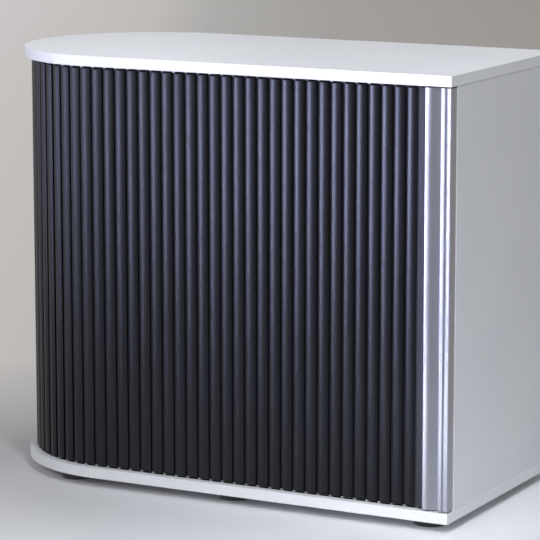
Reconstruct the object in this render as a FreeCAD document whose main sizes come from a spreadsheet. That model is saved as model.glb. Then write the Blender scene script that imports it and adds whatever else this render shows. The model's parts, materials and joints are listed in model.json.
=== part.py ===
# Tambour door cabinet with a half-round end: a D-shaped top and base on six levelling feet,
# a slatted shutter that runs in tracks round the end, and a full-height handle rail.
# Millimetres. The origin is on the floor at the centre of the footprint; the front faces -Y.
import FreeCAD
import Part
import Sketcher
import math
import os

doc = FreeCAD.newDocument("tambour_cabinet")
sheet = doc.addObject("Spreadsheet::Sheet", "sizes")
nodes = []
row_of = {}


def cell(alias, value):
    row = len(row_of) + 1
    row_of[alias] = row
    sheet.set("A%d" % row, alias)
    sheet.set("B%d" % row, str(value))
    sheet.setAlias("B%d" % row, alias)


# Overall size and panels
cell("length", 900)
cell("depth", 450)
cell("height", 750)
cell("foot_gap", 17)
cell("panel_thick", 18)
cell("band_thick", 1)
cell("shelf_thick", 18)
cell("shelf_level", 374)
cell("shelf_play", 1)
cell("back_thick", 8)

# Where the upright panels stand
cell("side_inset", 1)
cell("side_front_inset", 27)
cell("side_rear_inset", 2)
cell("partition_offset", 32)
cell("upright_front_inset", 35)
cell("back_inset", 32)

# Tambour path and tracks
cell("path_inset", 20)
cell("slot_wide", 6.4)
cell("slot_deep", 6.5)
cell("track_wall", 1.8)
cell("track_floor", 1.5)
cell("track_end_inset", 4)
cell("track_play", 0.1)
cell("stop_long", 5)

# Slats, joined by a bead that turns in the next slat's socket
cell("slat_pitch_aim", 22.6)
cell("slat_crest", 8.5)
cell("slat_flank", 6.1)
cell("slat_gap", 3.6)
cell("slat_lap_play", 0.8)
cell("slat_gap_bead", 4.2)
cell("slat_gap_socket", 3.2)
cell("slat_foot_gap", 3)
cell("slat_head_gap", 4.5)
cell("bead_radius", 2.2)
cell("neck_thick", 2.2)
cell("hinge_play", 0.35)
cell("socket_wall", 1.4)
cell("socket_lip", 1.2)
cell("socket_mouth", 3.7)
cell("glide_long", 5.2)
cell("glide_wide", 4.6)
cell("glide_reach", 4)

# Handle rail, lead strip and tail bar
cell("rail_right_inset", 1)
cell("rail_front_inset", 2)
cell("rail_thick", 21)
cell("rail_end_gap", 1.5)
cell("rib_left_wide", 9.5)
cell("channel_wide", 19.5)
cell("channel_deep", 9)
cell("channel_step", 1.5)
cell("rib_right_wide", 7.5)
cell("groove_wide", 4.5)
cell("groove_deep", 3)
cell("lip_wide", 5.5)
cell("lip_inset", 1)
cell("strip_wide", 15.5)
cell("tongue_long", 5)
cell("tongue_thick", 3)
cell("cap_thick", 1)
cell("cap_margin", 1)
cell("rail_glide_long", 30)
cell("rail_glide_right", 8)
cell("rail_rest_gap", 12)
cell("tail_wide", 14)

# Feet
cell("foot_right_inset", 57)
cell("foot_middle_offset", 252)
cell("foot_left_offset", 63)
cell("foot_set_back", 60)
cell("pad_radius", 29)
cell("pad_flats", 24)
cell("pad_rim", 9)
cell("nut_half", 13)
cell("stem_radius", 4)
cell("stem_flats", 12)
cell("stem_play", 0.35)
cell("insert_half", 8)
cell("insert_drop", 2)
cell("insert_skin", 2)

# Loose tenons in the panel joints, and the cleats under the shelf
cell("tenon_thick", 6)
cell("tenon_wide", 40)
cell("tenon_in_panel", 11)
cell("tenon_in_upright", 20)
cell("tenon_edge", 50)
cell("cleat_wide", 12)
cell("cleat_tall", 16)
cell("cleat_front", 25)
doc.recompute()

# Planes and lines of the cabinet, as expressions of the sizes above
RIGHT = "(sizes.length / 2)"
HALF = "(sizes.depth / 2)"
END_X = "(sizes.depth / 2 - sizes.length / 2)"
BASE_LOW = "sizes.foot_gap"
BASE_TOP = "(sizes.foot_gap + sizes.panel_thick)"
TOP_LOW = "(sizes.height - sizes.panel_thick)"
CLEAR_TALL = "(%s - %s)" % (TOP_LOW, BASE_TOP)
PATH_R = "(%s - sizes.path_inset)" % HALF
TRACK_HALF = "(sizes.slot_wide / 2 + sizes.track_wall)"
TRACK_DEEP = "(sizes.slot_deep + sizes.track_floor)"
TRACK_END = "(%s - sizes.track_end_inset)" % RIGHT
SLOT_LOW = "(%s - sizes.slot_deep)" % BASE_TOP
SIDE_RIGHT = "(%s - sizes.side_inset)" % RIGHT
SIDE_LEFT = "(%s - sizes.panel_thick)" % SIDE_RIGHT
PART_LEFT = "(%s + sizes.partition_offset)" % END_X
PART_RIGHT = "(%s + sizes.panel_thick)" % PART_LEFT
BACK_FRONT = "(%s - sizes.back_inset - sizes.back_thick)" % HALF
UPRIGHT_FRONT = "(sizes.upright_front_inset - %s)" % HALF
RAIL_RIGHT = "(%s - sizes.rail_right_inset)" % RIGHT
RAIL_WIDE = ("(sizes.rib_left_wide + sizes.channel_wide + sizes.rib_right_wide"
             " + sizes.groove_wide + sizes.lip_wide)")
RAIL_LEFT = "(%s - %s)" % (RAIL_RIGHT, RAIL_WIDE)
RAIL_FRONT = "(sizes.rail_front_inset - %s)" % HALF
RAIL_BACK = "(%s + sizes.rail_thick)" % RAIL_FRONT
RAIL_LOW = "(%s + sizes.rail_end_gap + sizes.cap_thick)" % BASE_TOP
RAIL_HIGH = "(%s - sizes.rail_end_gap - sizes.cap_thick)" % TOP_LOW
HINGE_X = "(%s - sizes.strip_wide)" % RAIL_LEFT
FRONT_RUN = "(%s - %s)" % (HINGE_X, END_X)
SLAT_LOW = "(%s + sizes.slat_foot_gap)" % BASE_TOP
SLAT_HIGH = "(%s - sizes.slat_head_gap)" % TOP_LOW
SLAT_TALL = "(%s - %s)" % (SLAT_HIGH, SLAT_LOW)
GLIDE_HIGH = "(%s + sizes.glide_reach)" % TOP_LOW
SOCKET_HALF = "(sizes.bead_radius + sizes.hinge_play)"
SOCKET_OUT = "(%s + sizes.socket_wall)" % SOCKET_HALF
LAP = "(%s + sizes.slat_lap_play)" % SOCKET_OUT
PAD_TALL = "(sizes.foot_gap - sizes.insert_drop)"
TENON_LONG = "(sizes.tenon_in_panel + sizes.tenon_in_upright)"
LOW_TENON = "(%s - sizes.tenon_in_panel)" % BASE_TOP
HIGH_TENON = "(%s - sizes.tenon_in_upright)" % TOP_LOW


def value(expression):
    result = sheet.evalExpression(str(expression))
    return float(getattr(result, "Value", result))


# The straight run holds a whole number of slats, so the pitch follows from the count
slat_count = max(2, round(value(FRONT_RUN) / value("sizes.slat_pitch_aim")))
PITCH = "(%s / %d)" % (FRONT_RUN, slat_count)


def bind(thing, **expressions):
    for name, expression in expressions.items():
        thing.setExpression(name, str(expression))
    return thing


def place(thing, x, y, z):
    thing.setExpression("Placement.Base.x", str(x))
    thing.setExpression("Placement.Base.y", str(y))
    thing.setExpression("Placement.Base.z", str(z))
    return thing


def box(name, x, y, z, wide, deep, tall):
    block = doc.addObject("Part::Box", name)
    bind(block, Length=wide, Width=deep, Height=tall)
    return place(block, x, y, z)


def rod(name, x, y, z, radius, tall):
    turned = doc.addObject("Part::Cylinder", name)
    bind(turned, Radius=radius, Height=tall)
    return place(turned, x, y, z)


def join(name, pieces):
    fused = doc.addObject("Part::MultiFuse", name)
    fused.Shapes = pieces
    fused.Refine = True
    return fused


def cut(name, base, tools):
    trimmed = doc.addObject("Part::Cut", name)
    trimmed.Base = base
    trimmed.Tool = tools[0] if len(tools) == 1 else join(name + "_tools", tools)
    trimmed.Refine = True
    return trimmed


def common(name, first, second):
    shared = doc.addObject("Part::MultiCommon", name)
    shared.Shapes = [first, second]
    return shared


def group(name, pieces):
    held = doc.addObject("Part::Compound", name)
    held.Links = pieces
    return held


def node(thing, label):
    thing.Label = label
    nodes.append(thing)
    return thing


def d_prism(name, radius, right, low, tall):
    # outline of the cabinet: a block with a half-round left end
    straight = box(name + "_block", END_X, "-" + radius, low, "%s - %s" % (right, END_X),
                   "2 * " + radius, tall)
    rounded = rod(name + "_round", END_X, 0, low, radius, tall)
    return join(name, [straight, rounded])


def u_prism(name, half_wide, right, low, tall):
    # a U along the tambour path, open at the right end
    outer = d_prism(name + "_outer", "(%s + %s)" % (PATH_R, half_wide), right, low, tall)
    inner = d_prism(name + "_inner", "(%s - %s)" % (PATH_R, half_wide),
                    "(%s + sizes.panel_thick)" % right, low, tall)
    return cut(name, outer, [inner])


def polygon(body, role, name, corners):
    # a closed outline on one of the body's own planes, each corner bound to the sizes
    plane = next(p for p in body.Origin.OriginFeatures if p.Role == role)
    sketch = body.newObject("Sketcher::SketchObject", name)
    sketch.AttachmentSupport = [(plane, "")]
    sketch.MapMode = "FlatFace"
    points = [FreeCAD.Vector(value(x), value(y), 0) for x, y in corners]
    count = len(points)
    for i in range(count):
        sketch.addGeometry(Part.LineSegment(points[i], points[(i + 1) % count]), False)
    for i in range(count):
        sketch.addConstraint(Sketcher.Constraint("Coincident", i, 2, (i + 1) % count, 1))
    for i, (x, y) in enumerate(corners):
        for kind, expression, here in (("DistanceX", x, points[i].x),
                                       ("DistanceY", y, points[i].y)):
            at = sketch.addConstraint(Sketcher.Constraint(kind, -1, 1, i, 1, here))
            sketch.setExpression("Constraints[%d]" % at, str(expression))
    return sketch


def body_with_pad(name, role, corners, low, tall):
    body = doc.addObject("PartDesign::Body", name)
    sketch = polygon(body, role, name + "_outline", corners)
    pad = body.newObject("PartDesign::Pad", name + "_pad")
    pad.Profile = sketch
    bind(pad, Length=tall)
    body.Tip = pad
    return place(body, 0, 0, low)


def tenon_blocks(name, low):
    # two loose tenons in the joint of each upright panel, at one end of it
    middles = [PART_LEFT, SIDE_LEFT]
    rows = ["(%s + sizes.tenon_edge)" % UPRIGHT_FRONT,
            "(%s - sizes.tenon_edge - sizes.tenon_wide)" % BACK_FRONT]
    spots = [(x, y) for x in middles for y in rows]
    inset = "(sizes.panel_thick - sizes.tenon_thick) / 2"
    return [box("%s_%d" % (name, i), "%s + %s" % (x, inset), y, low, "sizes.tenon_thick",
                "sizes.tenon_wide", TENON_LONG) for i, (x, y) in enumerate(spots)]


FOOT_LINES = (("right", "(%s - sizes.foot_right_inset)" % RIGHT),
              ("middle", "(%s + sizes.foot_middle_offset)" % END_X),
              ("left", "(%s - sizes.foot_left_offset)" % END_X))
FEET = [(row + "_" + spot, x, sign) for row, sign in (("front", "-"), ("rear", ""))
        for spot, x in FOOT_LINES]


def foot_y(sign):
    return "(%s(%s - sizes.foot_set_back))" % (sign, HALF)


def hexagon(half):
    # corners of a six-sided outline, half its width across the flats
    corner = "(2 * %s / sqrt(3))" % half
    return [(corner, "0"), ("%s / 2" % corner, half), ("-%s / 2" % corner, half), ("-" + corner, "0"),
            ("-%s / 2" % corner, "-" + half), ("%s / 2" % corner, "-" + half)]


def make_panels():
    core_radius = "(%s - sizes.band_thick)" % HALF
    core_right = "(%s - sizes.band_thick)" % RIGHT
    groove_half = "(%s + sizes.track_play)" % TRACK_HALF
    groove_right = "(%s + sizes.track_play)" % TRACK_END
    for side, low in (("top", TOP_LOW), ("base", BASE_LOW)):
        outer = d_prism(side + "_outline", HALF, RIGHT, low, "sizes.panel_thick")
        hollow = d_prism(side + "_band_hollow", core_radius, core_right, low, "sizes.panel_thick")
        node(cut(side + "_band", outer, [hollow]), side + "_edge_band")
        core = d_prism(side + "_core", core_radius, core_right, low, "sizes.panel_thick")
        groove_low = TOP_LOW if side == "top" else "(%s - %s)" % (BASE_TOP, TRACK_DEEP)
        tools = [u_prism(side + "_groove", groove_half, groove_right, groove_low, TRACK_DEEP)]
        tools += tenon_blocks(side + "_mortise", HIGH_TENON if side == "top" else LOW_TENON)
        if side == "base":
            tools += [insert_block("insert_pocket_" + name, x, foot_y(sign), BASE_LOW,
                                   "sizes.panel_thick - sizes.insert_skin") for name, x, sign in FEET]
        node(cut(side, core, tools), side + "_panel")


def insert_block(name, x, y, low, tall):
    return place(body_with_pad(name, "XY_Plane", hexagon("sizes.insert_half"), low, tall), x, y, low)


def mortised_upright(name, left, front, back, label):
    blank = box(name + "_blank", left, front, BASE_TOP, "sizes.panel_thick",
                "%s - %s" % (back, front), CLEAR_TALL)
    tools = tenon_blocks(name + "_low", LOW_TENON) + tenon_blocks(name + "_high", HIGH_TENON)
    return node(cut(name, blank, tools), label)


def make_carcass():
    side_front = "(sizes.side_front_inset - %s)" % HALF
    side_back = "(%s - sizes.side_rear_inset)" % HALF
    mortised_upright("partition", PART_LEFT, UPRIGHT_FRONT, BACK_FRONT, "left_partition")
    mortised_upright("side", SIDE_LEFT, side_front, side_back, "right_side_panel")
    node(box("back", PART_LEFT, BACK_FRONT, BASE_TOP, "%s - %s" % (SIDE_LEFT, PART_LEFT),
             "sizes.back_thick", CLEAR_TALL), "back_panel")
    shelf_wide = "%s - %s - 2 * sizes.shelf_play" % (SIDE_LEFT, PART_RIGHT)
    node(box("shelf", "%s + sizes.shelf_play" % PART_RIGHT, UPRIGHT_FRONT, "sizes.shelf_level",
             shelf_wide, "%s - %s - sizes.shelf_play" % (BACK_FRONT, UPRIGHT_FRONT),
             "sizes.shelf_thick"), "shelf")
    cleat_y = "(%s + sizes.cleat_front)" % UPRIGHT_FRONT
    cleats = [box("cleat_%d" % i, x, cleat_y, "sizes.shelf_level - sizes.cleat_tall", "sizes.cleat_wide",
                  "%s - %s" % (BACK_FRONT, cleat_y), "sizes.cleat_tall")
              for i, x in enumerate((PART_RIGHT, "%s - sizes.cleat_wide" % SIDE_LEFT))]
    node(group("cleats", cleats), "shelf_cleats")
    node(group("tenons", tenon_blocks("low_tenon", LOW_TENON) + tenon_blocks("high_tenon", HIGH_TENON)),
         "panel_tenons")


def make_tracks():
    slot_half = "(sizes.slot_wide / 2)"
    past_end = "(%s + sizes.track_wall)" % TRACK_END
    for side, low, slot_low in (("upper", TOP_LOW, TOP_LOW),
                                ("lower", "(%s - %s)" % (BASE_TOP, TRACK_DEEP), SLOT_LOW)):
        channel = u_prism(side + "_channel", TRACK_HALF, TRACK_END, low, TRACK_DEEP)
        slot = u_prism(side + "_slot", slot_half, past_end, slot_low, "sizes.slot_deep")
        node(cut(side, channel, [slot]), side + "_track")


def socket_outline(along, side):
    # a square socket on the hinge line, its mouth turned away from the slat that carries it
    mouth = "sizes.socket_mouth / 2"
    lip_in = "%s + %s(%s)" % (along, side, SOCKET_HALF)
    lip_out = "%s + %s(%s + sizes.socket_lip)" % (along, side, SOCKET_HALF)
    inner = "%s - %s(%s)" % (along, side, SOCKET_HALF)
    root = "%s - %s(%s + sizes.socket_wall)" % (along, side, SOCKET_HALF)
    return [(root, SOCKET_OUT), (lip_out, SOCKET_OUT), (lip_out, mouth), (lip_in, mouth),
            (lip_in, SOCKET_HALF), (inner, SOCKET_HALF), (inner, "-" + SOCKET_HALF),
            (lip_in, "-" + SOCKET_HALF), (lip_in, "-" + mouth), (lip_out, "-" + mouth),
            (lip_out, "-" + SOCKET_OUT), (root, "-" + SOCKET_OUT)]


def bead_outline():
    # a four-sided bead, corner up, on the hinge line, with a neck to the slat that it belongs to
    half = "sizes.neck_thick / 2"
    root = "(sizes.bead_radius - %s)" % half
    return [("sizes.slat_gap_bead", half), (root, half), ("0", "sizes.bead_radius"),
            ("-sizes.bead_radius", "0"), ("0", "-sizes.bead_radius"), (root, "-" + half),
            ("sizes.slat_gap_bead", "-" + half)]


def slat_pad(name, corners):
    return body_with_pad(name, "XY_Plane", corners, SLAT_LOW, SLAT_TALL)


def make_slat():
    # one slat lies along +X from its bead at the origin to its socket, its face toward +Y:
    # a crowned cap that laps over both hinges, on a web between bead and socket
    wide = "(%s - sizes.slat_gap)" % PITCH
    rise = "(sizes.slat_crest - sizes.slat_flank)"
    crown = "((%s ^ 2 / 4 + %s ^ 2) / (2 * %s))" % (wide, rise, rise)
    blank = box("slat_blank", "sizes.slat_gap / 2", LAP, SLAT_LOW, wide,
                "sizes.slat_crest - " + LAP, SLAT_TALL)
    crest = rod("slat_crown", PITCH + " / 2", "sizes.slat_crest - %s" % crown, SLAT_LOW, crown, SLAT_TALL)
    web_wide = "%s - sizes.slat_gap_bead - sizes.slat_gap_socket" % PITCH
    web = box("slat_web", "sizes.slat_gap_bead", "-" + SOCKET_OUT, SLAT_LOW, web_wide,
              "%s + %s" % (SOCKET_OUT, LAP), SLAT_TALL)
    return join("slat", [slat_pad("slat_bead", bead_outline()), common("slat_cap", blank, crest), web,
                         slat_pad("slat_socket", socket_outline(PITCH, ""))])


def make_glides():
    # nylon glides stand in the tracks under and over each bead
    spans = (("low", SLOT_LOW, SLAT_LOW), ("high", SLAT_HIGH, GLIDE_HIGH))
    return group("slat_glide", [box(side + "_glide", "-sizes.glide_long / 2", "-sizes.glide_wide / 2", low,
                                    "sizes.glide_long", "sizes.glide_wide", "%s - %s" % (high, low))
                                for side, low, high in spans])


def make_tail():
    bar = box("tail_blank", "sizes.slat_gap_bead", "-sizes.bead_radius", SLAT_LOW, "sizes.tail_wide",
              "sizes.bead_radius + sizes.slat_flank", SLAT_TALL)
    return join("tail", [slat_pad("tail_bead", bead_outline()), bar])


def front_places():
    # beads on the straight front run, from the lead strip to the round end
    x0 = value(HINGE_X)
    pitch = value(PITCH)
    y0 = -value(PATH_R)
    turn = FreeCAD.Rotation(FreeCAD.Vector(0, 0, 1), 180)
    return [FreeCAD.Placement(FreeCAD.Vector(x0 - k * pitch, y0, 0), turn) for k in range(slat_count)]


def round_places():
    # beads round the half circle, a chord of one pitch apart; the last one carries the tail
    radius = value(PATH_R)
    step = 2 * math.asin(value(PITCH) / (2 * radius))
    places = []
    for k in range(int(math.pi / step) + 1):
        angle = k * step
        heading = 180 - math.degrees(angle + step / 2)
        at = FreeCAD.Vector(value(END_X) - radius * math.sin(angle), -radius * math.cos(angle), 0)
        places.append(FreeCAD.Placement(at, FreeCAD.Rotation(FreeCAD.Vector(0, 0, 1), heading)))
    return places


def copies(name, shape, places, label):
    row = doc.addObject("Part::Feature", name)
    row.Shape = Part.makeCompound([solid for at in places for solid in placed(shape, at).Solids])
    return node(row, label)


def placed(shape, at):
    moved = shape.copy()
    moved.Placement = at.multiply(moved.Placement)
    return moved


def make_shutter():
    slat = make_slat()
    glide = make_glides()
    tail = make_tail()
    doc.recompute()
    arc = round_places()
    copies("front_row", slat.Shape, front_places(), "front_slats")
    copies("front_glide_row", glide.Shape, front_places(), "front_slat_glides")
    copies("round_row", slat.Shape, arc[:-1], "round_end_slats")
    copies("round_glide_row", glide.Shape, arc[:-1], "round_end_slat_glides")
    copies("tail_row", tail.Shape, arc[-1:], "tail_bar")
    copies("tail_glide_row", glide.Shape, arc[-1:], "tail_glides")
    return placed(glide.Shape, arc[-1]).BoundBox.XMax


def make_rail():
    # an extrusion with a finger channel that falls away from the first rib to the second
    x0 = RAIL_LEFT
    channel_left = "(%s + sizes.rib_left_wide)" % RAIL_LEFT
    channel_right = "(%s + sizes.channel_wide)" % channel_left
    valley = "(%s - sizes.channel_step)" % channel_right
    x1 = "(%s + sizes.rib_right_wide)" % channel_right
    x2 = "(%s + sizes.groove_wide)" % x1
    x3 = RAIL_RIGHT
    slot_mid = "(-%s)" % PATH_R
    slot_front = "(%s - sizes.tongue_thick / 2)" % slot_mid
    slot_back = "(%s + sizes.tongue_thick / 2)" % slot_mid
    slot_end = "(%s + sizes.tongue_long)" % x0
    channel_bottom = "(%s + sizes.channel_deep)" % RAIL_FRONT
    groove_bottom = "(%s + sizes.groove_deep)" % RAIL_FRONT
    lip_front = "(%s + sizes.lip_inset)" % RAIL_FRONT
    corners = [(x0, RAIL_FRONT), (channel_left, RAIL_FRONT), (valley, channel_bottom),
               (channel_right, RAIL_FRONT), (x1, RAIL_FRONT), (x1, groove_bottom), (x2, groove_bottom),
               (x2, lip_front), (x3, lip_front), (x3, RAIL_BACK), (x0, RAIL_BACK),
               (x0, slot_back), (slot_end, slot_back), (slot_end, slot_front), (x0, slot_front)]
    tall = "%s - %s" % (RAIL_HIGH, RAIL_LOW)
    node(body_with_pad("rail_bar", "XY_Plane", corners, RAIL_LOW, tall), "handle_rail")


def make_strip():
    # a flat strip with the first socket, its tongue held in the slot of the handle rail
    plate = box("strip_plate", "sizes.slat_gap / 2", "-sizes.slat_crest", SLAT_LOW,
                "sizes.strip_wide - sizes.slat_gap / 2", "sizes.slat_crest - " + LAP, SLAT_TALL)
    web = box("strip_web", "sizes.slat_gap_socket", "-" + LAP, SLAT_LOW,
              "sizes.strip_wide - sizes.slat_gap_socket", "%s + %s" % (LAP, SOCKET_OUT), SLAT_TALL)
    tongue = box("strip_tongue", "sizes.strip_wide", "-sizes.tongue_thick / 2", SLAT_LOW,
                 "sizes.tongue_long", "sizes.tongue_thick", SLAT_TALL)
    socket = slat_pad("strip_socket", socket_outline("0", "-1 * "))
    strip = join("strip", [plate, web, tongue, socket])
    node(place(strip, HINGE_X, "-" + PATH_R, 0), "lead_strip")


def make_rail_caps():
    caps = []
    wide = "%s - 2 * sizes.cap_margin" % RAIL_WIDE
    plate_front = "(%s + sizes.channel_deep)" % RAIL_FRONT
    plate_deep = "%s - %s - sizes.cap_margin" % (RAIL_BACK, plate_front)
    glide_x = "%s - sizes.rail_glide_right - sizes.rail_glide_long" % RAIL_RIGHT
    glide_y = "-%s - sizes.glide_wide / 2" % PATH_R
    low_reach = "%s - %s" % (RAIL_LOW, SLOT_LOW)
    high_reach = "%s - %s" % (GLIDE_HIGH, RAIL_HIGH)
    for side, plate_low, glide_low, reach in (
            ("low", "%s - sizes.cap_thick" % RAIL_LOW, SLOT_LOW, low_reach),
            ("high", RAIL_HIGH, RAIL_HIGH, high_reach)):
        plate = box(side + "_cap_plate", "%s + sizes.cap_margin" % RAIL_LEFT, plate_front, plate_low,
                    wide, plate_deep, "sizes.cap_thick")
        glide = box(side + "_cap_glide", glide_x, glide_y, glide_low, "sizes.rail_glide_long",
                    "sizes.glide_wide", reach)
        caps.append(join(side + "_cap", [plate, glide]))
    node(group("caps", caps), "rail_glide_caps")


def make_stops(tail_end):
    # blocks that end the shutter's travel: at the right of the front run and, behind,
    # where the tail's glides arrive when the rail reaches the round end
    travel = value(FRONT_RUN) - value("sizes.rail_rest_gap")
    rear_x = tail_end + travel - value(RIGHT)
    blocks = []
    for side, low in (("upper", TOP_LOW), ("lower", SLOT_LOW)):
        for run, x in (("front", "%s - sizes.stop_long" % TRACK_END),
                       ("rear", "%s + %.6f" % (RIGHT, rear_x))):
            y = "%s%s - sizes.slot_wide / 2" % ("-" if run == "front" else "", PATH_R)
            blocks.append(box("%s_%s_stop" % (side, run), x, y, low, "sizes.stop_long",
                              "sizes.slot_wide", "sizes.slot_deep"))
    node(group("stops", blocks), "track_stops")


def flat_sided(radius, flats):
    # corners of a round outline with flats
    turns = ["%d * 360 deg / %d" % (i, flats) for i in range(flats)]
    return [("%s * cos(%s)" % (radius, turn), "%s * sin(%s)" % (radius, turn)) for turn in turns]


def make_feet():
    inserts = []
    rim = flat_sided("sizes.pad_radius", round(value("sizes.pad_flats")))
    stem_flats = round(value("sizes.stem_flats"))
    round_stem = flat_sided("sizes.stem_radius", stem_flats)
    round_bore = flat_sided("(sizes.stem_radius + sizes.stem_play)", stem_flats)
    for name, x, sign in FEET:
        y = foot_y(sign)
        disc = place(body_with_pad("pad_disc_" + name, "XY_Plane", rim, 0, "sizes.pad_rim"), x, y, 0)
        nut = place(body_with_pad("pad_nut_" + name, "XY_Plane", hexagon("sizes.nut_half"), 0,
                                  "%s - sizes.pad_rim" % PAD_TALL), x, y, "sizes.pad_rim")
        node(join("pad_" + name, [disc, nut]), "foot_pad_" + name)
        stem_tall = "(%s - sizes.insert_skin - %s)" % (BASE_TOP, PAD_TALL)
        stem = body_with_pad("stem_" + name, "XY_Plane", round_stem, PAD_TALL, stem_tall)
        node(place(stem, x, y, PAD_TALL), "foot_stem_" + name)
        blank = insert_block("insert_blank_" + name, x, y, PAD_TALL, stem_tall)
        bore = body_with_pad("insert_bore_" + name, "XY_Plane", round_bore, PAD_TALL, stem_tall)
        inserts.append(cut("insert_" + name, blank, [place(bore, x, y, PAD_TALL)]))
    node(group("inserts", inserts), "foot_inserts")


make_panels()
make_carcass()
make_tracks()
tail_end_x = make_shutter()
make_rail()
make_strip()
make_rail_caps()
make_stops(tail_end_x)
make_feet()
doc.recompute()

for thing in doc.Objects:
    if "Invalid" in thing.State or "Error" in thing.State:
        raise RuntimeError("failed: %s %s" % (thing.Name, thing.State))
for thing in nodes:
    if thing.Shape.isNull() or not thing.Shape.isValid() or thing.Shape.Volume <= 0:
        raise RuntimeError("no valid solid: " + thing.Label)

os.makedirs("parts", exist_ok=True)
for thing in nodes:
    thing.Shape.exportStep(os.path.join("parts", thing.Label + ".step"))
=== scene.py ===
import json
import math
import random

import bmesh
import bpy
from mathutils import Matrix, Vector

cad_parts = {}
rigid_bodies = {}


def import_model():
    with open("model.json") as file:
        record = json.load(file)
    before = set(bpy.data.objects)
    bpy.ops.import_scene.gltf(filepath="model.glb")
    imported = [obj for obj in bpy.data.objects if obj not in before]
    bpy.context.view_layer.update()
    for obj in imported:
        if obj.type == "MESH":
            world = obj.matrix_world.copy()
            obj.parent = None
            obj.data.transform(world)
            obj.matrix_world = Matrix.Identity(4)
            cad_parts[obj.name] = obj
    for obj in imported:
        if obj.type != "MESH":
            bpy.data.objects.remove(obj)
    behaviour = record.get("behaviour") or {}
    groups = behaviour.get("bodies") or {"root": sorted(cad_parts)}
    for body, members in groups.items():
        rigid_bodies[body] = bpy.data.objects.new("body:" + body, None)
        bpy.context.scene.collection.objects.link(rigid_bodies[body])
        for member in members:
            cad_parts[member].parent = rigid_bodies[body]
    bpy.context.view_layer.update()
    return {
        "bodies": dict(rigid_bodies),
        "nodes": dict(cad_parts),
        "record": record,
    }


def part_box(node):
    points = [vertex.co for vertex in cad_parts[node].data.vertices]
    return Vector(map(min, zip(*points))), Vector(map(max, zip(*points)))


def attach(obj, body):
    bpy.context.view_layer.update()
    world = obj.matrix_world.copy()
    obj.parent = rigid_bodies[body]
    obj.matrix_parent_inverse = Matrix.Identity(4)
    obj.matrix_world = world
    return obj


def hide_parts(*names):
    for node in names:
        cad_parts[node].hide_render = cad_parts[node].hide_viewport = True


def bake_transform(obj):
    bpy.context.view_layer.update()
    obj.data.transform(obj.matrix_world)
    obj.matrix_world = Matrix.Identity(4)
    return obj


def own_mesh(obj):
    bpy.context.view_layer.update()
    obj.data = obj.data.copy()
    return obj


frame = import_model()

# Finished look of the tambour cabinet, modelled around its frame.
# Outlines and NEAR are in millimetres, meshes and TINY in metres.
# The front faces -Y and the half-round end is at -X.
MM = 0.001
TINY = 1e-6
NEAR = 0.02
random.seed(11)

# Tambour path: a straight front run, a half circle and a rear run
END_X = -225.0
PATH_R = 205.0
HINGE_X = 387.0
FRONT_COUNT = 27
PITCH = (HINGE_X - END_X) / FRONT_COUNT
TURN = 2 * math.asin(PITCH / (2 * PATH_R))
ROUND_COUNT = 28
TRAVEL = 600.0

# Slat section, from the bead at its left to the socket at its right
SLAT_LEFT = 1.6
SLAT_RIGHT = PITCH - 2.4
SLAT_FLANK = 6.1
SLAT_CREST = 8.5
SLAT_LAP = 4.75
WEB_LEFT = 4.2
SOCKET_WEB = 3.2
WEB_RIGHT = PITCH - SOCKET_WEB
BEAD_R = 2.2
NECK = 1.1
SOCKET_IN = 2.55
SOCKET_OUT = 3.95
MOUTH = 1.85
CROWN_MID = (SLAT_LEFT + SLAT_RIGHT) / 2
CROWN_HALF = SLAT_RIGHT - CROWN_MID
CROWN_RISE = SLAT_CREST - SLAT_FLANK
CROWN_R = (CROWN_HALF ** 2 + CROWN_RISE ** 2) / (2 * CROWN_RISE)
CROWN_ANGLE = 2 * math.degrees(math.asin(CROWN_HALF / CROWN_R))

# Hinge: angles in degrees of the socket's lips, its shoulder and the bead's neck, and where they end
LIP_IN = math.degrees(math.asin(MOUTH / SOCKET_IN))
LIP_OUT = math.degrees(math.asin(MOUTH / SOCKET_OUT))
SHOULDER = math.degrees(math.acos(SOCKET_WEB / SOCKET_OUT))
NECK_ANGLE = math.degrees(math.asin(NECK / BEAD_R))
LIP_IN_X = SOCKET_IN * math.cos(math.radians(LIP_IN))
LIP_OUT_X = SOCKET_OUT * math.cos(math.radians(LIP_OUT))
SHOULDER_Y = SOCKET_OUT * math.sin(math.radians(SHOULDER))
NECK_X = BEAD_R * math.cos(math.radians(NECK_ANGLE))

# Tongue of the lead strip, which the handle rail's slot takes, and the tail bar beyond its hinge
TONGUE_LONG = 5.0
TONGUE_HALF = 1.5

TAIL_WIDE = 14.0

# Edging: the band round the top and base, and the strip on a board's front edge
BAND_THICK = 1.15
STRIP_DEEP = 1.0

# Camera angles in degrees
VIEW_TURN = 27.736
VIEW_TILT = 10.098


# Modelling helpers

def only(*pieces):
    bpy.ops.object.select_all(action="DESELECT")
    for piece in pieces:
        piece.select_set(True)
    if pieces:
        bpy.context.view_layer.objects.active = pieces[-1]


def settle():
    bpy.ops.object.transform_apply(location=True, rotation=True, scale=True)


def added(name):
    piece = bpy.context.active_object
    piece.name = name
    piece.data.name = name
    settle()
    return piece


def open_edit(piece):
    only(piece)
    bpy.ops.object.mode_set(mode="EDIT")


def close_edit():
    bpy.ops.object.mode_set(mode="OBJECT")


def pick(piece, kind, test):
    # selects the faces, edges or vertices that pass the test, in edit mode
    bpy.ops.mesh.select_mode(type=kind)
    bpy.ops.mesh.select_all(action="DESELECT")
    mesh = bmesh.from_edit_mesh(piece.data)
    for part in {"FACE": mesh.faces, "EDGE": mesh.edges, "VERT": mesh.verts}[kind]:
        if test(part):
            part.select_set(True)
    mesh.select_flush_mode()
    bmesh.update_edit_mesh(piece.data)


def level(edge):
    return abs(edge.verts[0].co.z - edge.verts[1].co.z) < TINY


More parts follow.
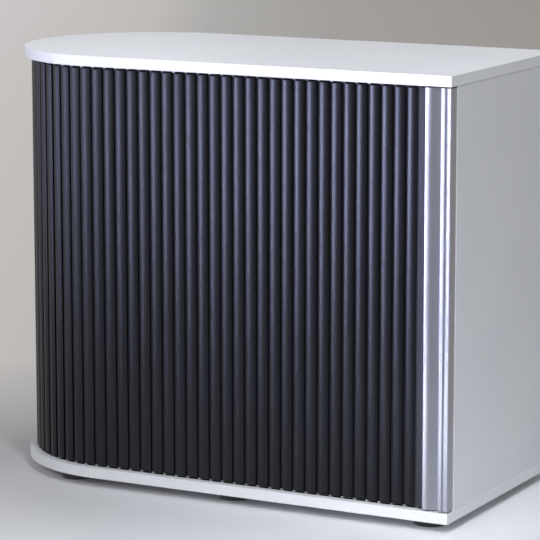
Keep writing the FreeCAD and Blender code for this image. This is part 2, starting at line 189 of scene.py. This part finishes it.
def pull(x, y, z):
    bpy.ops.mesh.extrude_region_move(TRANSFORM_OT_translate={"value": (x * MM, y * MM, z * MM)})


def close_shell():
    bpy.ops.mesh.select_all(action="SELECT")
    bpy.ops.mesh.remove_doubles(threshold=2e-6)
    bpy.ops.mesh.normals_make_consistent(inside=False)


def finish_with(piece, kind, **settings):
    only(piece)
    modifier = piece.modifiers.new(kind.title(), kind)
    for name, value in settings.items():
        setattr(modifier, name, value)
    bpy.ops.object.modifier_apply(modifier=modifier.name)


def soften(piece, angle=32):
    # smooth shading up to an angle, with flat faces kept flat
    only(piece)
    bpy.ops.object.shade_smooth_by_angle(angle=math.radians(angle))
    finish_with(piece, "WEIGHTED_NORMAL", keep_sharp=True, weight=60)


def round_edges(piece, width, segments=3, angle=40):
    finish_with(piece, "BEVEL", width=width * MM, segments=segments, limit_method="ANGLE",
                angle_limit=math.radians(angle))
    soften(piece)


def block(name, low, high):
    only()
    middle = [(a + b) / 2 * MM for a, b in zip(low, high)]
    size = [(b - a) * MM for a, b in zip(low, high)]
    bpy.ops.mesh.primitive_cube_add(size=1, location=middle, scale=size)
    return added(name)


def in_mm(node):
    return [[c / MM for c in corner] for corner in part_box(node)]


def traced(name, start, steps, low, high):
    # an extrusion: a vertex is drawn round the section's outline, which is filled and pulled up.
    # A step is a corner (x, y), or an arc (centre x, centre y, degrees, pieces).
    only()
    bpy.ops.mesh.primitive_plane_add(size=MM, location=(start[0] * MM, start[1] * MM, low * MM))
    piece = added(name)
    open_edit(piece)
    bpy.ops.mesh.select_mode(type="VERT")
    bpy.ops.mesh.select_all(action="SELECT")
    bpy.ops.mesh.merge(type="CENTER")
    here = Vector(start)
    for step in steps:
        if len(step) == 2:
            there = Vector(step)
            pull(there.x - here.x, there.y - here.y, 0)
            here = there
        else:
            x, y, degrees, pieces = step
            turn = math.radians(degrees)
            bpy.ops.mesh.spin(steps=pieces, angle=-turn, center=(x * MM, y * MM, low * MM), axis=(0, 0, 1))
            arm = here - Vector((x, y))
            here = Vector((x, y)) + Vector((arm.x * math.cos(turn) - arm.y * math.sin(turn),
                                            arm.x * math.sin(turn) + arm.y * math.cos(turn)))
    bpy.ops.mesh.select_all(action="SELECT")
    bpy.ops.mesh.edge_face_add()
    pull(0, 0, high - low)
    close_shell()
    close_edit()
    return piece


def round_uprights(piece, corners, segments=4):
    # rounds the upright edges that stand on these corners (x, y, radius)
    for x, y, radius in corners:
        open_edit(piece)
        pick(piece, "EDGE", lambda edge: all(
            abs(v.co.x / MM - x) < NEAR and abs(v.co.y / MM - y) < NEAR for v in edge.verts))
        bpy.ops.mesh.bevel(offset=radius * MM, segments=segments, affect="EDGES", clamp_overlap=True)
        close_edit()


def set_out(name, pattern, places):
    # copies of one modelled piece, each turned and moved to its place (x, y, angle), as one row
    row = []
    for x, y, angle in places:
        copy = pattern.copy()
        copy.data = pattern.data.copy()
        bpy.context.scene.collection.objects.link(copy)
        copy.rotation_euler = (0, 0, angle)
        copy.location = (x * MM, y * MM, 0)
        tone = copy.data.attributes.new("piece_tone", "FLOAT", "POINT")
        tone.data.foreach_set("value", [random.random()] * len(copy.data.vertices))
        row.append(copy)
    only(*row)
    settle()
    bpy.ops.object.join()
    return added(name)


def discard(pattern):
    bpy.data.objects.remove(pattern)


# Finishes

def finish_for(name, colour, rough, metal=0.0):
    material = bpy.data.materials.new(name)
    material.use_nodes = True
    shader = material.node_tree.nodes["Principled BSDF"]
    shader.inputs["Base Color"].default_value = (*colour, 1)
    shader.inputs["Roughness"].default_value = rough
    shader.inputs["Metallic"].default_value = metal
    return material, material.node_tree, shader


def feed(tree, socket, value):
    # links another node's output, or sets a constant
    if isinstance(value, bpy.types.NodeSocket):
        tree.links.new(value, socket)
    else:
        socket.default_value = value


def node_with(tree, kind, **inputs):
    node = tree.nodes.new(kind)
    for name, value in inputs.items():
        feed(tree, node.inputs[name.replace("_", " ")], value)
    return node


def noise(tree, scale, detail=3.0, stretch=(1, 1, 1)):
    where = node_with(tree, "ShaderNodeTexCoord").outputs["Object"]
    spread = node_with(tree, "ShaderNodeMapping", Vector=where, Scale=stretch)
    return node_with(tree, "ShaderNodeTexNoise", Vector=spread.outputs["Vector"], Scale=scale,
                     Detail=detail).outputs[0]


def between(tree, value, low, high, start=0.3, end=0.7):
    return node_with(tree, "ShaderNodeMapRange", Value=value, From_Min=start, From_Max=end,
                     To_Min=low, To_Max=high).outputs["Result"]


def mixed(tree, value, first, second):
    mix = tree.nodes.new("ShaderNodeMix")
    mix.data_type = "RGBA"
    tree.links.new(value, mix.inputs[0])
    for socket, colour in ((mix.inputs[6], first), (mix.inputs[7], second)):
        feed(tree, socket, (*colour, 1) if isinstance(colour, tuple) else colour)
    return mix.outputs[2]


def tint(tree, shader, value, dark, light):
    tree.links.new(mixed(tree, value, dark, light), shader.inputs["Base Color"])


def roughen(tree, shader, value, low, high):
    tree.links.new(between(tree, value, low, high), shader.inputs["Roughness"])


def bump(tree, shader, layers):
    # fine relief: (height, strength, depth in millimetres) for each layer, one on the other
    last = None
    for height, strength, depth in layers:
        node = node_with(tree, "ShaderNodeBump", Height=height, Strength=strength, Distance=depth * MM)
        if last:
            tree.links.new(last, node.inputs["Normal"])
        last = node.outputs["Normal"]
    tree.links.new(last, shader.inputs["Normal"])


def white_laminate():
    material, tree, shader = finish_for("white_laminate", (0.80, 0.80, 0.815), 0.42)
    cloud = noise(tree, 5.0, 2.0)
    peel = noise(tree, 700.0, 2.0)
    tint(tree, shader, between(tree, cloud, 0, 1), (0.775, 0.777, 0.797), (0.81, 0.81, 0.823))
    roughen(tree, shader, noise(tree, 60.0), 0.36, 0.48)
    bump(tree, shader, [(peel, 0.12, 0.08)])
    return material


def white_edging():
    material, tree, shader = finish_for("white_edging", (0.86, 0.86, 0.872), 0.36)
    cloud = noise(tree, 9.0, 2.0)
    tint(tree, shader, between(tree, cloud, 0, 1), (0.845, 0.845, 0.86), (0.875, 0.875, 0.884))
    roughen(tree, shader, noise(tree, 90.0), 0.3, 0.42)
    bump(tree, shader, [(noise(tree, 500.0, 2.0), 0.1, 0.06)])
    return material


def black_slats(name="black_slat_face", dark=(0.0020, 0.0020, 0.0027),
                light=(0.0031, 0.0031, 0.0041)):
    material, tree, shader = finish_for(name, dark, 0.36)
    shader.inputs["Specular IOR Level"].default_value = 0.4
    shader.inputs["Specular Tint"].default_value = (0.86, 0.88, 1.0, 1)
    tone = tree.nodes.new("ShaderNodeAttribute")
    tone.attribute_name = "piece_tone"
    tint(tree, shader, tone.outputs["Fac"], dark, light)
    streak = noise(tree, 260.0, 3.0, (1, 1, 0.012))
    grain = noise(tree, 2400.0, 2.0)
    roughen(tree, shader, streak, 0.37, 0.43)
    bump(tree, shader, [(streak, 0.06, 0.02), (grain, 0.08, 0.02)])
    return material


def black_moulding(name, colour, low, high):
    material, tree, shader = finish_for(name, colour, (low + high) / 2)
    cloud = noise(tree, 40.0)
    light = tuple(c * 1.35 for c in colour)
    tint(tree, shader, between(tree, cloud, 0, 1), colour, light)
    roughen(tree, shader, noise(tree, 220.0), low, high)
    bump(tree, shader, [(noise(tree, 1500.0, 2.0), 0.2, 0.05)])
    return material


def satin_aluminium():
    material, tree, shader = finish_for("satin_aluminium", (0.61, 0.625, 0.69), 0.37, 1.0)
    drawn = noise(tree, 1600.0, 2.0, (1, 1, 0.004))
    cloud = noise(tree, 14.0, 2.0, (1, 1, 0.3))
    tint(tree, shader, between(tree, cloud, 0, 1), (0.57, 0.585, 0.65), (0.61, 0.625, 0.69))
    roughen(tree, shader, drawn, 0.34, 0.40)
    bump(tree, shader, [(drawn, 0.03, 0.004)])
    return material


def white_nylon():
    material, tree, shader = finish_for("white_nylon", (0.80, 0.80, 0.78), 0.5)
    tint(tree, shader, between(tree, noise(tree, 80.0), 0, 1), (0.76, 0.76, 0.74), (0.83, 0.83, 0.81))
    roughen(tree, shader, noise(tree, 300.0), 0.42, 0.58)
    bump(tree, shader, [(noise(tree, 1200.0, 2.0), 0.15, 0.04)])
    return material


def zinc_plate():
    material, tree, shader = finish_for("zinc_plate", (0.62, 0.63, 0.64), 0.36, 1.0)
    tint(tree, shader, between(tree, noise(tree, 160.0), 0, 1), (0.55, 0.56, 0.57), (0.68, 0.69, 0.69))
    roughen(tree, shader, noise(tree, 400.0), 0.28, 0.46)
    bump(tree, shader, [(noise(tree, 900.0), 0.15, 0.04)])
    return material


def plain_beech():
    material, tree, shader = finish_for("plain_beech", (0.66, 0.5, 0.33), 0.55)
    rings = noise(tree, 30.0, 4.0, (6, 1, 6))
    tint(tree, shader, between(tree, rings, 0, 1), (0.58, 0.42, 0.27), (0.72, 0.56, 0.39))
    roughen(tree, shader, noise(tree, 120.0), 0.48, 0.64)
    bump(tree, shader, [(rings, 0.2, 0.1)])
    return material


FINISHES = {
    "white_board": white_laminate(),
    "white_edge": white_edging(),
    "beech": plain_beech(),
    "black_track": black_moulding("black_track", (0.018, 0.018, 0.02), 0.42, 0.58),
    "black_slat": black_slats(),
    "white_nylon": white_nylon(),
    "satin_aluminium": satin_aluminium(),
    "zinc_steel": zinc_plate(),
    "black_foot": black_moulding("black_foot", (0.02, 0.02, 0.022), 0.45, 0.62),
}


def dress(piece, slot, body, *nodes):
    # gives a modelled piece its finish and its place in the frame
    piece.data.materials.clear()
    piece.data.materials.append(FINISHES[slot])
    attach(piece, body)
    if nodes:
        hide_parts(*nodes)
    return piece


# Top, base and boards

def edging(name, node):
    # a band round the D outline, its arrises rounded
    low, high = in_mm(node)
    radius = high[1]
    only()
    bpy.ops.mesh.primitive_circle_add(vertices=144, radius=radius * MM,
                                      location=(END_X * MM, 0, low[2] * MM))
    piece = added(name)
    open_edit(piece)
    pick(piece, "VERT", lambda v: v.co.x > END_X * MM + TINY)
    bpy.ops.mesh.delete(type="VERT")
    pick(piece, "VERT", lambda v: abs(v.co.x - END_X * MM) < TINY)
    pull(high[0] - END_X, 0, 0)
    bpy.ops.mesh.edge_face_add()
    bpy.ops.mesh.select_all(action="SELECT")
    pull(0, 0, high[2] - low[2])
    close_shell()
    close_edit()
    finish_with(piece, "SOLIDIFY", thickness=BAND_THICK * MM, offset=-1.0, use_even_offset=True)
    round_edges(piece, 0.4)
    dress(piece, "white_edge", "carcass", node)


def board(name, node):
    # a board with a strip of edging along its front edge
    low, high = in_mm(node)
    piece = block(name, low, high)
    seam = low[1] + STRIP_DEEP
    open_edit(piece)
    bpy.ops.mesh.select_all(action="SELECT")
    bpy.ops.mesh.bisect(plane_co=(0, seam * MM, 0), plane_no=(0, 1, 0))
    close_edit()
    round_edges(piece, 0.4)
    dress(piece, "white_board", "carcass", node)
    piece.data.materials.append(FINISHES["white_edge"])
    for face in piece.data.polygons:
        if face.center.y < seam * MM - TINY:
            face.material_index = 1


# Shutter

def slat_pattern():
    # one slat: a crowned cap that laps over both hinges, a web, a bead and a socket
    low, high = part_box("front_slats")
    steps = [(SLAT_LEFT, SLAT_FLANK),
             (CROWN_MID, SLAT_CREST - CROWN_R, -CROWN_ANGLE, 18),
             (SLAT_RIGHT, SLAT_LAP), (WEB_RIGHT, SLAT_LAP), (WEB_RIGHT, SHOULDER_Y),
             (PITCH, 0, LIP_OUT + SHOULDER - 180, 6),
             (PITCH + LIP_IN_X, MOUTH),
             (PITCH, 0, 360 - 2 * LIP_IN, 10),
             (PITCH + LIP_OUT_X, -MOUTH),
             (PITCH, 0, LIP_OUT - 90, 4),
             (WEB_LEFT, -SOCKET_OUT), (WEB_LEFT, -NECK), (NECK_X, -NECK),
             (0, 0, 2 * NECK_ANGLE - 360, 10),
             (WEB_LEFT, NECK), (WEB_LEFT, SLAT_LAP)]
    piece = traced("slat", (SLAT_LEFT, SLAT_LAP), steps, low.z / MM, high.z / MM)
    round_uprights(piece, [(SLAT_LEFT, SLAT_FLANK, 0.5), (SLAT_RIGHT, SLAT_FLANK, 1.2)], 4)
    open_edit(piece)
    pick(piece, "EDGE", lambda edge: (
        level(edge) and max(v.co.y for v in edge.verts) > (SLAT_LAP + NEAR) * MM
        and min(v.co.y for v in edge.verts) > (SLAT_LAP - NEAR) * MM))
    bpy.ops.mesh.bevel(offset=1.3 * MM, segments=5, affect="EDGES", clamp_overlap=False)
    close_shell()
    close_edit()
    soften(piece)
    return piece


def glide_pattern():
    # nylon glides under and over a bead, from the tracks' slots to the slats' ends
    (_, _, slat_low), (_, _, slat_high) = in_mm("front_slats")
    (_, _, slot_low), (_, _, slot_high) = in_mm("front_slat_glides")
    along, across = 2.6, 2.3
    ends = []
    for low, high in ((slot_low, slat_low), (slat_high, slot_high)):
        piece = block("glide", (-along, -across, low), (along, across, high))
        round_uprights(piece, [(x, y, 1.6) for x in (-along, along) for y in (-across, across)], 3)
        round_edges(piece, 0.35, 2)
        ends.append(piece)
    only(*ends)
    bpy.ops.object.join()
    return added("glide")


FRONT_PLACES = [(HINGE_X - k * PITCH, -PATH_R, math.pi) for k in range(FRONT_COUNT)]
ROUND_PLACES = [(END_X - PATH_R * math.sin(k * TURN), -PATH_R * math.cos(k * TURN),
                 math.pi - (k + 0.5) * TURN) for k in range(ROUND_COUNT + 1)]


def gather(piece):
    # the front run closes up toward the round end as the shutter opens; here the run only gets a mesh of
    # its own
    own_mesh(piece)


def shutter():
    slat = slat_pattern()
    glide = glide_pattern()
    gather(dress(set_out("front_slats_run", slat, FRONT_PLACES), "black_slat", "carcass", "front_slats"))
    gather(dress(set_out("front_glides_run", glide, FRONT_PLACES), "white_nylon", "carcass",
                 "front_slat_glides"))
    dress(set_out("round_slats_run", slat, ROUND_PLACES[:-1]), "black_slat", "carcass", "round_end_slats")
    dress(set_out("round_glides_run", glide, ROUND_PLACES[:-1]), "white_nylon", "carcass",
          "round_end_slat_glides")
    discard(slat)
    discard(glide)


def lead_strip():
    # the flat strip beside the handle rail, with the socket of the first hinge
    low, high = in_mm("lead_strip")
    front = -PATH_R - SLAT_CREST
    back = -PATH_R + SOCKET_OUT
    tip = high[0]
    right = tip - TONGUE_LONG
    tongue_front, tongue_back = -PATH_R - TONGUE_HALF, -PATH_R + TONGUE_HALF
    left = HINGE_X + SLAT_LEFT
    ledge_slope = 0.3
    ledge = HINGE_X + SLAT_RIGHT - PITCH + ledge_slope
    lap = -PATH_R - SLAT_LAP
    steps = [(right, front), (right, tongue_front), (tip, tongue_front), (tip, tongue_back),
             (right, tongue_back), (right, back), (HINGE_X, back),
             (HINGE_X, -PATH_R, 90 - LIP_OUT, 4),
             (HINGE_X - LIP_IN_X, -PATH_R + MOUTH),
             (HINGE_X, -PATH_R, 2 * LIP_IN - 360, 10),
             (HINGE_X - LIP_OUT_X, -PATH_R - MOUTH),
             (HINGE_X, -PATH_R, 180 - LIP_OUT - SHOULDER, 6),
             (HINGE_X + SOCKET_WEB, lap), (ledge, lap), (ledge, -PATH_R - SLAT_FLANK),
             (left, lap - ledge_slope)]
    piece = traced("lead_strip_bar", (left, front), steps, low[2], high[2])
    round_uprights(piece, [(left, front, 1.0), (right, front, 0.5)], 3)
    open_edit(piece)
    pick(piece, "EDGE", lambda edge: (
        level(edge) and max(v.co.y for v in edge.verts) < (front + 1.2) * MM))
    bpy.ops.mesh.bevel(offset=0.6 * MM, segments=3, affect="EDGES", clamp_overlap=False)
    close_shell()
    close_edit()
    soften(piece)
    dress(piece, "black_slat", "lead_rail", "lead_strip")
    # painted sheen: the strip's finish is a lighter copy of the slats' black, standing in for the
    # reflection on its flat face
    piece.data.materials[0] = black_slats("strip_painted_sheen_face", (0.028, 0.029, 0.037),
                                          (0.036, 0.037, 0.046))


def handle_rail():
    # an extrusion with a flange, a finger channel that deepens to the right, a rib, a groove and a lip
    low, high = in_mm("handle_rail")
    left, right = low[0], high[0]
    front, back = low[1], high[1]
    channel = left + 9.5
    rib = channel + 19.5
    groove = rib + 7.5
    lip = groove + 4.5
    valley = rib - 1.5
    deep = front + 9
    groove_floor = front + 3
    lip_front = front + 1
    slot = left + TONGUE_LONG
    slot_front, slot_back = -PATH_R - TONGUE_HALF, -PATH_R + TONGUE_HALF
    steps = [(left, slot_back), (slot, slot_back), (slot, slot_front), (left, slot_front), (left, front),
             (channel, front), (valley, deep), (rib, front), (groove, front), (groove, groove_floor),
             (lip, groove_floor), (lip, lip_front), (right, lip_front), (right, back)]
    piece = traced("handle_rail_bar", (left, back), steps, low[2], high[2])
    round_uprights(piece, [(left, front, 3.2), (channel, front, 3.4), (valley, deep, 1.2),
                           (rib, front, 1.6), (groove, front, 1.8), (lip, lip_front, 1.4),
                           (right, lip_front, 1.8), (right, back, 1.0), (left, back, 0.6)], 6)
    round_edges(piece, 0.3, 2, 60)
    dress(piece, "satin_aluminium", "lead_rail", "handle_rail")


def tail_bar():
    # the last bar of the shutter, with the bead of the last hinge
    low, high = in_mm("tail_bar")
    end = WEB_LEFT + TAIL_WIDE
    steps = [(WEB_LEFT, -NECK), (NECK_X, -NECK), (0, 0, 2 * NECK_ANGLE - 360, 10),
             (WEB_LEFT, NECK), (WEB_LEFT, SLAT_FLANK), (end, SLAT_FLANK), (end, -BEAD_R)]
    pattern = traced("tail", (WEB_LEFT, -BEAD_R), steps, low[2], high[2])
    round_uprights(pattern, [(WEB_LEFT, SLAT_FLANK, 1.0), (end, SLAT_FLANK, 1.0), (end, -BEAD_R, 1.0)], 3)
    round_edges(pattern, 0.3, 2, 60)
    dress(set_out("tail_bar_piece", pattern, ROUND_PLACES[-1:]), "black_slat", "tail", "tail_bar")
    discard(pattern)


def rear_run():
    # slats that stand along the back when the shutter is open; at rest they are closed up in the
    # last slat of the round end, and they spread out between it and the tail bar
    low, high = in_mm("front_slats")
    count = 26
    step = TRAVEL / count
    start_x, start_y = -249.0, 203.4
    room = 7.0
    sunk = 0.4
    lap = SLAT_LAP - sunk
    back = -2.4
    reach = step + 4.0
    clear = 0.6
    steps = [(SLAT_LEFT, SLAT_FLANK - sunk), (CROWN_MID, SLAT_CREST - sunk - CROWN_R, -CROWN_ANGLE, 14),
             (SLAT_RIGHT, lap), (WEB_RIGHT, lap), (WEB_RIGHT, NECK), (reach, NECK), (reach, -NECK),
             (WEB_RIGHT, -NECK), (WEB_RIGHT, back), (WEB_LEFT, back), (WEB_LEFT, lap)]
    pattern = traced("rear_slat", (SLAT_LEFT, lap), steps, low[2] + clear, high[2] - clear)
    soften(pattern)
    piece = set_out("rear_slats_run", pattern, [(k * step, 0, 0) for k in range(count)])
    discard(pattern)
    # the blend's weight is a smooth step along the room, so each place takes the step's inverse
    for vertex in piece.data.vertices:
        along = vertex.co.x / MM
        share = min(max(along / TRAVEL, 0), 1)
        eased = 0.5 - math.sin(math.asin(1 - 2 * share) / 3)
        spill = 0.2 * (along - share * TRAVEL)
        vertex.co.x = (start_x + eased * room + spill) * MM
        vertex.co.y += start_y * MM
    dress(piece, "black_slat", "carcass")
    return piece


# Feet

def foot_pattern():
    # a round pad with a stepped upper face and a hexagon to turn it by
    radius, thick, step = 28.9, 9.0, 0.6
    rim, flat, slope = 3.0, 6.0, 1.0
    nut_radius, nut_tall = 15.0, 6.0
    only()
    bpy.ops.mesh.primitive_cylinder_add(vertices=64, radius=radius * MM, depth=thick * MM,
                                        location=(0, 0, thick / 2 * MM))
    pad = added("pad")
    open_edit(pad)
    pick(pad, "FACE", lambda face: face.normal.z > 0.9)
    bpy.ops.mesh.inset(thickness=rim * MM)
    bpy.ops.transform.translate(value=(0, 0, -step * MM))
    pick(pad, "FACE", lambda face: face.normal.z > 0.9 and len(face.verts) > 8)
    bpy.ops.mesh.inset(thickness=flat * MM)
    bpy.ops.mesh.inset(thickness=slope * MM)
    bpy.ops.transform.translate(value=(0, 0, step * MM))
    close_shell()
    close_edit()
    round_edges(pad, 0.7, 3, 50)
    only()
    bpy.ops.mesh.primitive_cylinder_add(vertices=6, radius=nut_radius * MM, depth=nut_tall * MM,
                                        location=(0, 0, (thick + nut_tall / 2) * MM),
                                        rotation=(0, 0, math.radians(30)))
    nut = added("nut")
    round_edges(nut, 0.6, 2)
    only(nut, pad)
    bpy.ops.object.join()
    return added("foot")


def stem_pattern():
    # a threaded stem, ring by ring
    only()
    low, high, ring = 15.0, 33.0, 0.6
    root, crest = 3.5, 3.95
    bpy.ops.mesh.primitive_circle_add(vertices=20, radius=root * MM, fill_type="NGON",
                                      location=(0, 0, low * MM))
    piece = added("stem")
    open_edit(piece)
    pick(piece, "FACE", lambda face: True)
    for turn in range(round((high - low) / ring)):
        pull(0, 0, ring)
        height = (low + (turn + 1) * ring) * MM
        size = crest / root if turn % 2 == 0 else root / crest
        bpy.ops.transform.resize(value=(size, size, 1), center_override=(0, 0, height))
    close_shell()
    close_edit()
    soften(piece, 25)
    return piece


def feet():
    foot = foot_pattern()
    stem = stem_pattern()
    for body in frame["bodies"]:
        if not body.startswith("foot_"):
            continue
        spot = body[len("foot_"):]
        low, high = in_mm("foot_pad_" + spot)
        place = [((low[0] + high[0]) / 2, (low[1] + high[1]) / 2, 0)]
        dress(set_out("foot_" + spot + "_pad", foot, place), "black_foot", body, "foot_pad_" + spot)
        dress(set_out("foot_" + spot + "_stem", stem, place), "zinc_steel", body, "foot_stem_" + spot)
    discard(foot)
    discard(stem)


edging("top_edging", "top_edge_band")
edging("base_edging", "base_edge_band")
board("right_side_board", "right_side_panel")
board("left_partition_board", "left_partition")
board("back_board", "back_panel")
board("shelf_board", "shelf")
shutter()
lead_strip()
handle_rail()
tail_bar()
rear_slats = rear_run()
feet()

slots = {part["node"]: part["material_slot"] for part in frame["record"]["subparts"]}
for name, node in frame["nodes"].items():
    for holder in node.material_slots:
        holder.material = FINISHES[slots[name]]

# blended between two bodies, so it hangs on neither
rear_slats.parent = None
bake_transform(rear_slats)


# Floor, light and camera

def graded(tree, value, low, high, stops):
    # a run of colours from low to high: (position, colour), the first at 0 and the last at 1
    ramp = node_with(tree, "ShaderNodeValToRGB", Fac=between(tree, value, 0, 1, low, high))
    elements = ramp.color_ramp.elements
    for position, colour in stops:
        ends = {0: elements[0], 1: elements[-1]}
        element = ends[position] if position in ends else elements.new(position)
        element.color = (*colour, 1)
    return ramp.outputs["Color"]


def worked(tree, operation, first, second):
    node = tree.nodes.new("ShaderNodeMath")
    node.operation = operation
    for socket, value in zip(node.inputs, (first, second)):
        feed(tree, socket, value)
    return node.outputs[0]


def seen_rays(tree, shown):
    # the share of a backdrop in the rays that show it or reflect it, and none in those that light by it
    path = tree.nodes.new("ShaderNodeLightPath")
    seen = worked(tree, "MULTIPLY", path.outputs["Is Camera Ray"], shown)
    for ray in ("Is Glossy Ray", "Is Transmission Ray"):
        seen = worked(tree, "MAXIMUM", seen, path.outputs[ray])
    return seen


def show(tree, share, lit, seen, output):
    # a lit shader, and in its share of the rays a plain glow
    blend = tree.nodes.new("ShaderNodeMixShader")
    for socket, source in zip(blend.inputs, (share, lit.outputs[0], seen.outputs[0])):
        tree.links.new(source, socket)
    tree.links.new(blend.outputs[0], tree.nodes[output].inputs["Surface"])


def floor():
    # lit and shaded near the cabinet, its own colour painted lighter toward the right as painted light;
    # further out a pale glowing ground, graded round the front right corner with painted light and shade
    # that the slats and rail reflect
    corner_x, corner_y = 0.42, -0.22
    only()
    bpy.ops.mesh.primitive_plane_add(size=60, location=(0, 0, 0))
    sheet = added("floor")
    material, tree, shader = finish_for("floor", (0.75, 0.75, 0.75), 0.7)
    shader.inputs["Specular IOR Level"].default_value = 0.1
    where = node_with(tree, "ShaderNodeTexCoord").outputs["Object"]
    view = node_with(tree, "ShaderNodeMapping", Vector=where, Rotation=(0, 0, math.radians(-VIEW_TURN)))
    place = node_with(tree, "ShaderNodeSeparateXYZ", Vector=view.outputs["Vector"])
    across, along = place.outputs["X"], place.outputs["Y"]
    # painted light: the lit floor's own colour grades from grey at the left to a lighter, cooler white at
    # the right, where the light falls stronger
    tint(tree, shader, between(tree, across, 0, 1, -0.5, 0.3), (0.66, 0.655, 0.655), (0.88, 0.895, 0.92))
    # painted light and shade: the far ground behind the cabinet glows lighter at the left and darker
    # toward the right
    behind = graded(tree, across, -1.3, 1.3, ((0.0, (0.585, 0.565, 0.56)), (0.28, (0.52, 0.50, 0.49)),
                                              (0.4, (0.42, 0.41, 0.40)), (0.6, (0.365, 0.35, 0.34)),
                                              (1.0, (0.325, 0.305, 0.29))))
    plan = node_with(tree, "ShaderNodeSeparateXYZ", Vector=where)
    reach = tree.nodes.new("ShaderNodeVectorMath")
    reach.operation = "LENGTH"
    tree.links.new(where, reach.inputs[0])
    reach = reach.outputs["Value"]
    side = worked(tree, "ARCTAN2", worked(tree, "SUBTRACT", plan.outputs["X"], corner_x),
                  worked(tree, "SUBTRACT", corner_y, plan.outputs["Y"]))
    # painted reflection: near the cabinet the ground glows brightest just left of the rail and dimmer to
    # either side, seen mostly in the reflections of the slats and the rail
    close = graded(tree, plan.outputs["X"], -0.8, 0.45, ((0.0, (0.40, 0.41, 0.45)),
                                                         (0.55, (0.92, 0.95, 1.0)),
                                                         (1.0, (0.50, 0.52, 0.58))))
    # painted light and reflection: the ground in front glows bright at the front left and dark at the
    # front right, round the corner, and the slats and rail reflect it
    ahead_painted_light = graded(tree, side, -2.4, 1.6, ((0.0, (0.50, 0.51, 0.54)), (0.3, (0.88, 0.91, 1.0)),
                                           (0.46, (0.80, 0.84, 0.95)), (0.56, (0.29, 0.30, 0.35)),
                                           (0.65, (0.13, 0.135, 0.155)), (0.74, (0.15, 0.155, 0.17)),
                                           (0.85, (0.38, 0.375, 0.38)), (1.0, (0.42, 0.41, 0.405))))
    ahead_painted_light = mixed(tree, between(tree, reach, 0, 1, 0.6, 1.7), close, ahead_painted_light)
    painted_ground_glow = tree.nodes.new("ShaderNodeEmission")
    ground = mixed(tree, between(tree, along, 0, 1, -0.6, 0.3), ahead_painted_light, behind)
    tree.links.new(ground, painted_ground_glow.inputs["Color"])
    far = between(tree, reach, 0, 1, 0.4, 1.1)
    show(tree, seen_rays(tree, far), shader, painted_ground_glow, "Material Output")
    sheet.data.materials.append(material)


def softbox(name, place, aim, size, power, colour, beam=180):
    lamp = bpy.data.lights.new(name, "AREA")
    lamp.shape = "RECTANGLE"
    lamp.size, lamp.size_y = size
    lamp.energy = power
    lamp.color = colour
    lamp.spread = math.radians(beam)
    holder = bpy.data.objects.new(name, lamp)
    bpy.context.scene.collection.objects.link(holder)
    holder.location = place
    holder.rotation_euler = (Vector(aim) - Vector(place)).to_track_quat("-Z", "Y").to_euler()
    holder.visible_camera = False


def studio():
    scene = bpy.context.scene
    world = bpy.data.worlds.new("studio")
    world.use_nodes = True
    tree = world.node_tree
    sky = tree.nodes["Background"]
    sky.inputs["Color"].default_value = (0.80, 0.80, 0.82, 1)
    sky.inputs["Strength"].default_value = 0.12
    haze = node_with(tree, "ShaderNodeBackground", Color=(0.30, 0.295, 0.295, 1))
    show(tree, seen_rays(tree, 1.0), sky, haze, "World Output")
    scene.world = world
    white = (0.92, 0.95, 1.0)
    cool = (0.64, 0.68, 1.0)
    # lamps above, behind, in front and at both sides
    softbox("over_light", (0.45, 0.0, 2.6), (0.45, 0.0, 0.5), (1.6, 1.6), 22.4, white)
    softbox("right_light", (1.16, -1.48, 2.0), (0.1, -0.1, 0.3), (0.3, 0.3), 19, white)
    softbox("front_light", (-0.2, -2.6, 1.35), (0.0, -0.2, 0.3), (0.3, 0.3), 10, white)
    softbox("left_light", (-1.6, -0.26, 1.05), (0.0, -0.2, 1.05), (0.5, 0.5), 3.2, white)
    softbox("left_front_light", (-0.5, -1.6, 1.05), (-0.2, -0.2, 0.7), (0.4, 0.4), 3.6, white)
    softbox("back_left_light", (-1.6, 1.8, 1.8), (0.0, 0.0, 0.6), (1.0, 1.0), 4.5, white)
    softbox("back_right_light", (1.6, 1.8, 1.8), (0.0, 0.0, 0.6), (1.0, 1.0), 6, white)
    # low lamps that rake across the slats and the rail, and one down on the right end of the base
    softbox("low_front_light", (-0.985, -1.461, 0.5), (0.0, -0.2, 0.95), (0.62, 0.45), 0.36, cool, 54)
    softbox("low_right_slats_light", (-1.5, -2.0, 0.46), (0.7, -0.21, 0.54), (0.9, 0.5), 2.3, cool, 22)
    softbox("low_left_light", (-1.75, -1.25, 0.46), (0.82, -0.52, 1.14), (0.8, 0.5), 1.9, cool, 50)
    softbox("rib_light", (0.13, -0.87, 0.1), (0.42, -0.23, 0.1), (0.2, 0.16), 0.03, white, 40)
    softbox("low_wide_light", (-0.85, -1.075, 0.72), (-0.18, -0.33, 0.72), (2.0, 0.4), 0.8, cool)
    softbox("base_light", (0.95, -1.6, 1.5), (0.45, -0.3, 0.0), (0.3, 0.3), 0.6, white, 36)
    scene.view_settings.view_transform = "Standard"


def camera():
    lens = bpy.data.cameras.new("camera")
    lens.sensor_width = 36
    lens.lens = 194.21
    holder = bpy.data.objects.new("camera", lens)
    bpy.context.scene.collection.objects.link(holder)
    holder.location = (2.3316, -4.4219, 1.2562)
    holder.rotation_euler = (math.radians(90 - VIEW_TILT), 0, math.radians(VIEW_TURN))
    bpy.context.scene.camera = holder


floor()
studio()
camera()

bpy.context.view_layer.update()
